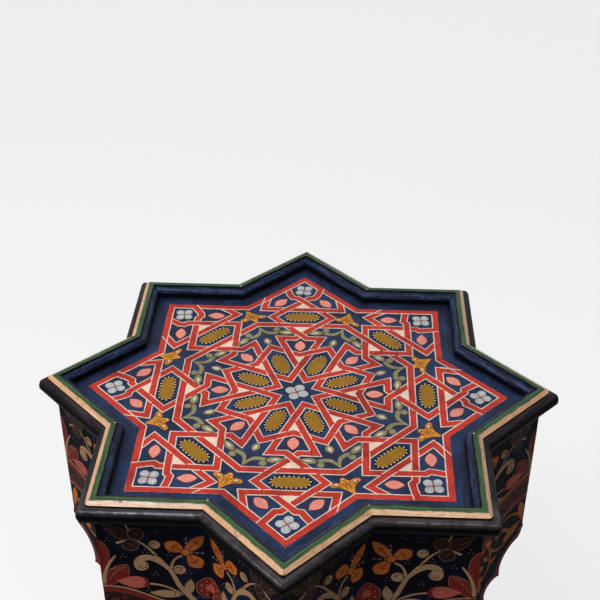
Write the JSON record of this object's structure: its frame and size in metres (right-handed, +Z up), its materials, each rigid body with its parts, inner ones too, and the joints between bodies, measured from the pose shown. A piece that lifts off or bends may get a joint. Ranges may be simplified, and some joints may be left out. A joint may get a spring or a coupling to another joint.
{
  "type": "star-shaped side table",
  "caption": "Hand-painted wooden side table with an eight-pointed star top, a raised rim, mitred side boards, lobed arches and legs at the inner corners.",
  "frame": {"origin": "centre of the footprint on the floor", "axes": "+Z up; the star's tips point along +X, -X, +Y, -Y and halfway between them; -Y is the front"},
  "size_m": [0.4954, 0.4954, 0.5],
  "materials": {
    "painted_panel": "hand-painted in blue, red and cream, satin varnish",
    "painted_sides": "hand-painted flowers on blue-black, satin varnish",
    "painted_rim": "hand-painted in blue, green and sand, satin varnish",
    "black_lacquer": "glossy black paint, rubbed at the edges",
    "bare_wood": "sawn softwood, bare",
    "steel": "wire nails, dull"
  },
  "bodies": {
    "root": {"top_board": "painted_panel", "side_board_01": "painted_sides", "side_board_02": "painted_sides", "side_board_03": "painted_sides", "side_board_04": "painted_sides", "side_board_05": "painted_sides", "side_board_06": "painted_sides", "side_board_07": "painted_sides", "side_board_08": "painted_sides", "side_board_09": "painted_sides", "side_board_10": "painted_sides", "side_board_11": "painted_sides", "side_board_12": "painted_sides", "side_board_13": "painted_sides", "side_board_14": "painted_sides", "side_board_15": "painted_sides", "side_board_16": "painted_sides", "corner_block_01": "bare_wood", "corner_block_02": "bare_wood", "corner_block_03": "bare_wood", "corner_block_04": "bare_wood", "corner_block_05": "bare_wood", "corner_block_06": "bare_wood", "corner_block_07": "bare_wood", "corner_block_08": "bare_wood", "rim_01": "painted_rim", "rim_02": "painted_rim", "rim_03": "painted_rim", "rim_04": "painted_rim", "rim_05": "painted_rim", "rim_06": "painted_rim", "rim_07": "painted_rim", "rim_08": "painted_rim", "rim_09": "painted_rim", "rim_10": "painted_rim", "rim_11": "painted_rim", "rim_12": "painted_rim", "rim_13": "painted_rim", "rim_14": "painted_rim", "rim_15": "painted_rim", "rim_16": "painted_rim", "nosing_01": "black_lacquer", "nosing_02": "black_lacquer", "nosing_03": "black_lacquer", "nosing_04": "black_lacquer", "nosing_05": "black_lacquer", "nosing_06": "black_lacquer", "nosing_07": "black_lacquer", "nosing_08": "black_lacquer", "nosing_09": "black_lacquer", "nosing_10": "black_lacquer", "nosing_11": "black_lacquer", "nosing_12": "black_lacquer", "nosing_13": "black_lacquer", "nosing_14": "black_lacquer", "nosing_15": "black_lacquer", "nosing_16": "black_lacquer", "top_nails": "steel", "rim_pins": "steel", "nosing_pins": "steel"}
  },
  "joints": []
}
